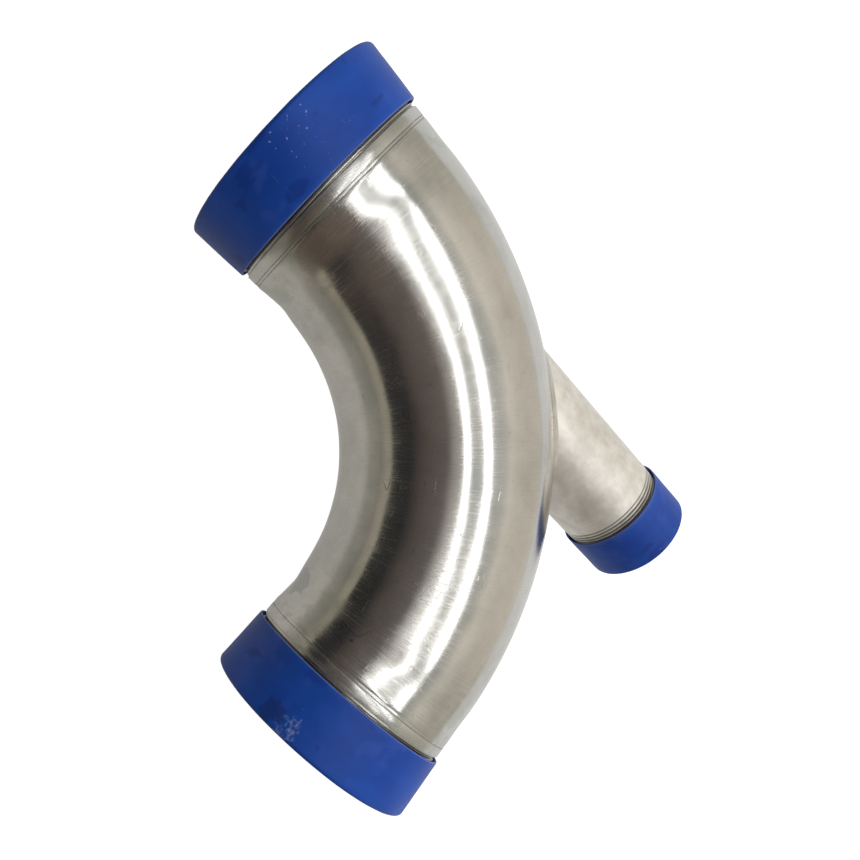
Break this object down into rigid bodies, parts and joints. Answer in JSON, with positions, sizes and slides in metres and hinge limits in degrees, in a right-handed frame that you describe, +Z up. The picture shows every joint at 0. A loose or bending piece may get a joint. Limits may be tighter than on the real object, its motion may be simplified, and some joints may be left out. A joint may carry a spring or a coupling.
{
  "type": "y branch pipe bend",
  "caption": "Welded stainless long-radius pipe bend with a straight side branch, male-threaded ends and push-on plastic thread protection caps.",
  "frame": {"origin": "under the middle of the object's box, level with the lowest point of the two large caps", "axes": "+Z up, the bend lying flat; +Y along the upper end's axis, away from the branch, which runs along -Y in line with it; the lower end faces -X"},
  "size_m": [0.389, 0.4338, 0.1764],
  "materials": {
    "polished_steel": "hoop-brushed and half polished stainless steel",
    "satin_steel": "satin stainless steel",
    "weld": "ground weld metal with faint heat tint",
    "blue_plastic": "satin polyethylene with scuffs"
  },
  "bodies": {
    "fitting": {"elbow_bend": "polished_steel", "upper_threaded_end": "polished_steel", "lower_threaded_end": "polished_steel", "upper_weld_seam": "weld", "lower_weld_seam": "weld", "branch_pipe": "satin_steel", "branch_weld": "weld"},
    "upper_cap": {"upper_cap": "blue_plastic"},
    "lower_cap": {"lower_cap": "blue_plastic"},
    "branch_cap": {"branch_cap": "blue_plastic"}
  },
  "joints": [
    {"name": "upper_cap_pull", "type": "slide", "parent": "fitting", "child": "upper_cap", "axis": [0, 1, 0], "range_m": [0, 0.09]},
    {"name": "lower_cap_pull", "type": "slide", "parent": "fitting", "child": "lower_cap", "axis": [-1, 0, 0], "range_m": [0, 0.09]},
    {"name": "branch_cap_pull", "type": "slide", "parent": "fitting", "child": "branch_cap", "axis": [0, -1, 0], "range_m": [0, 0.08]}
  ]
}
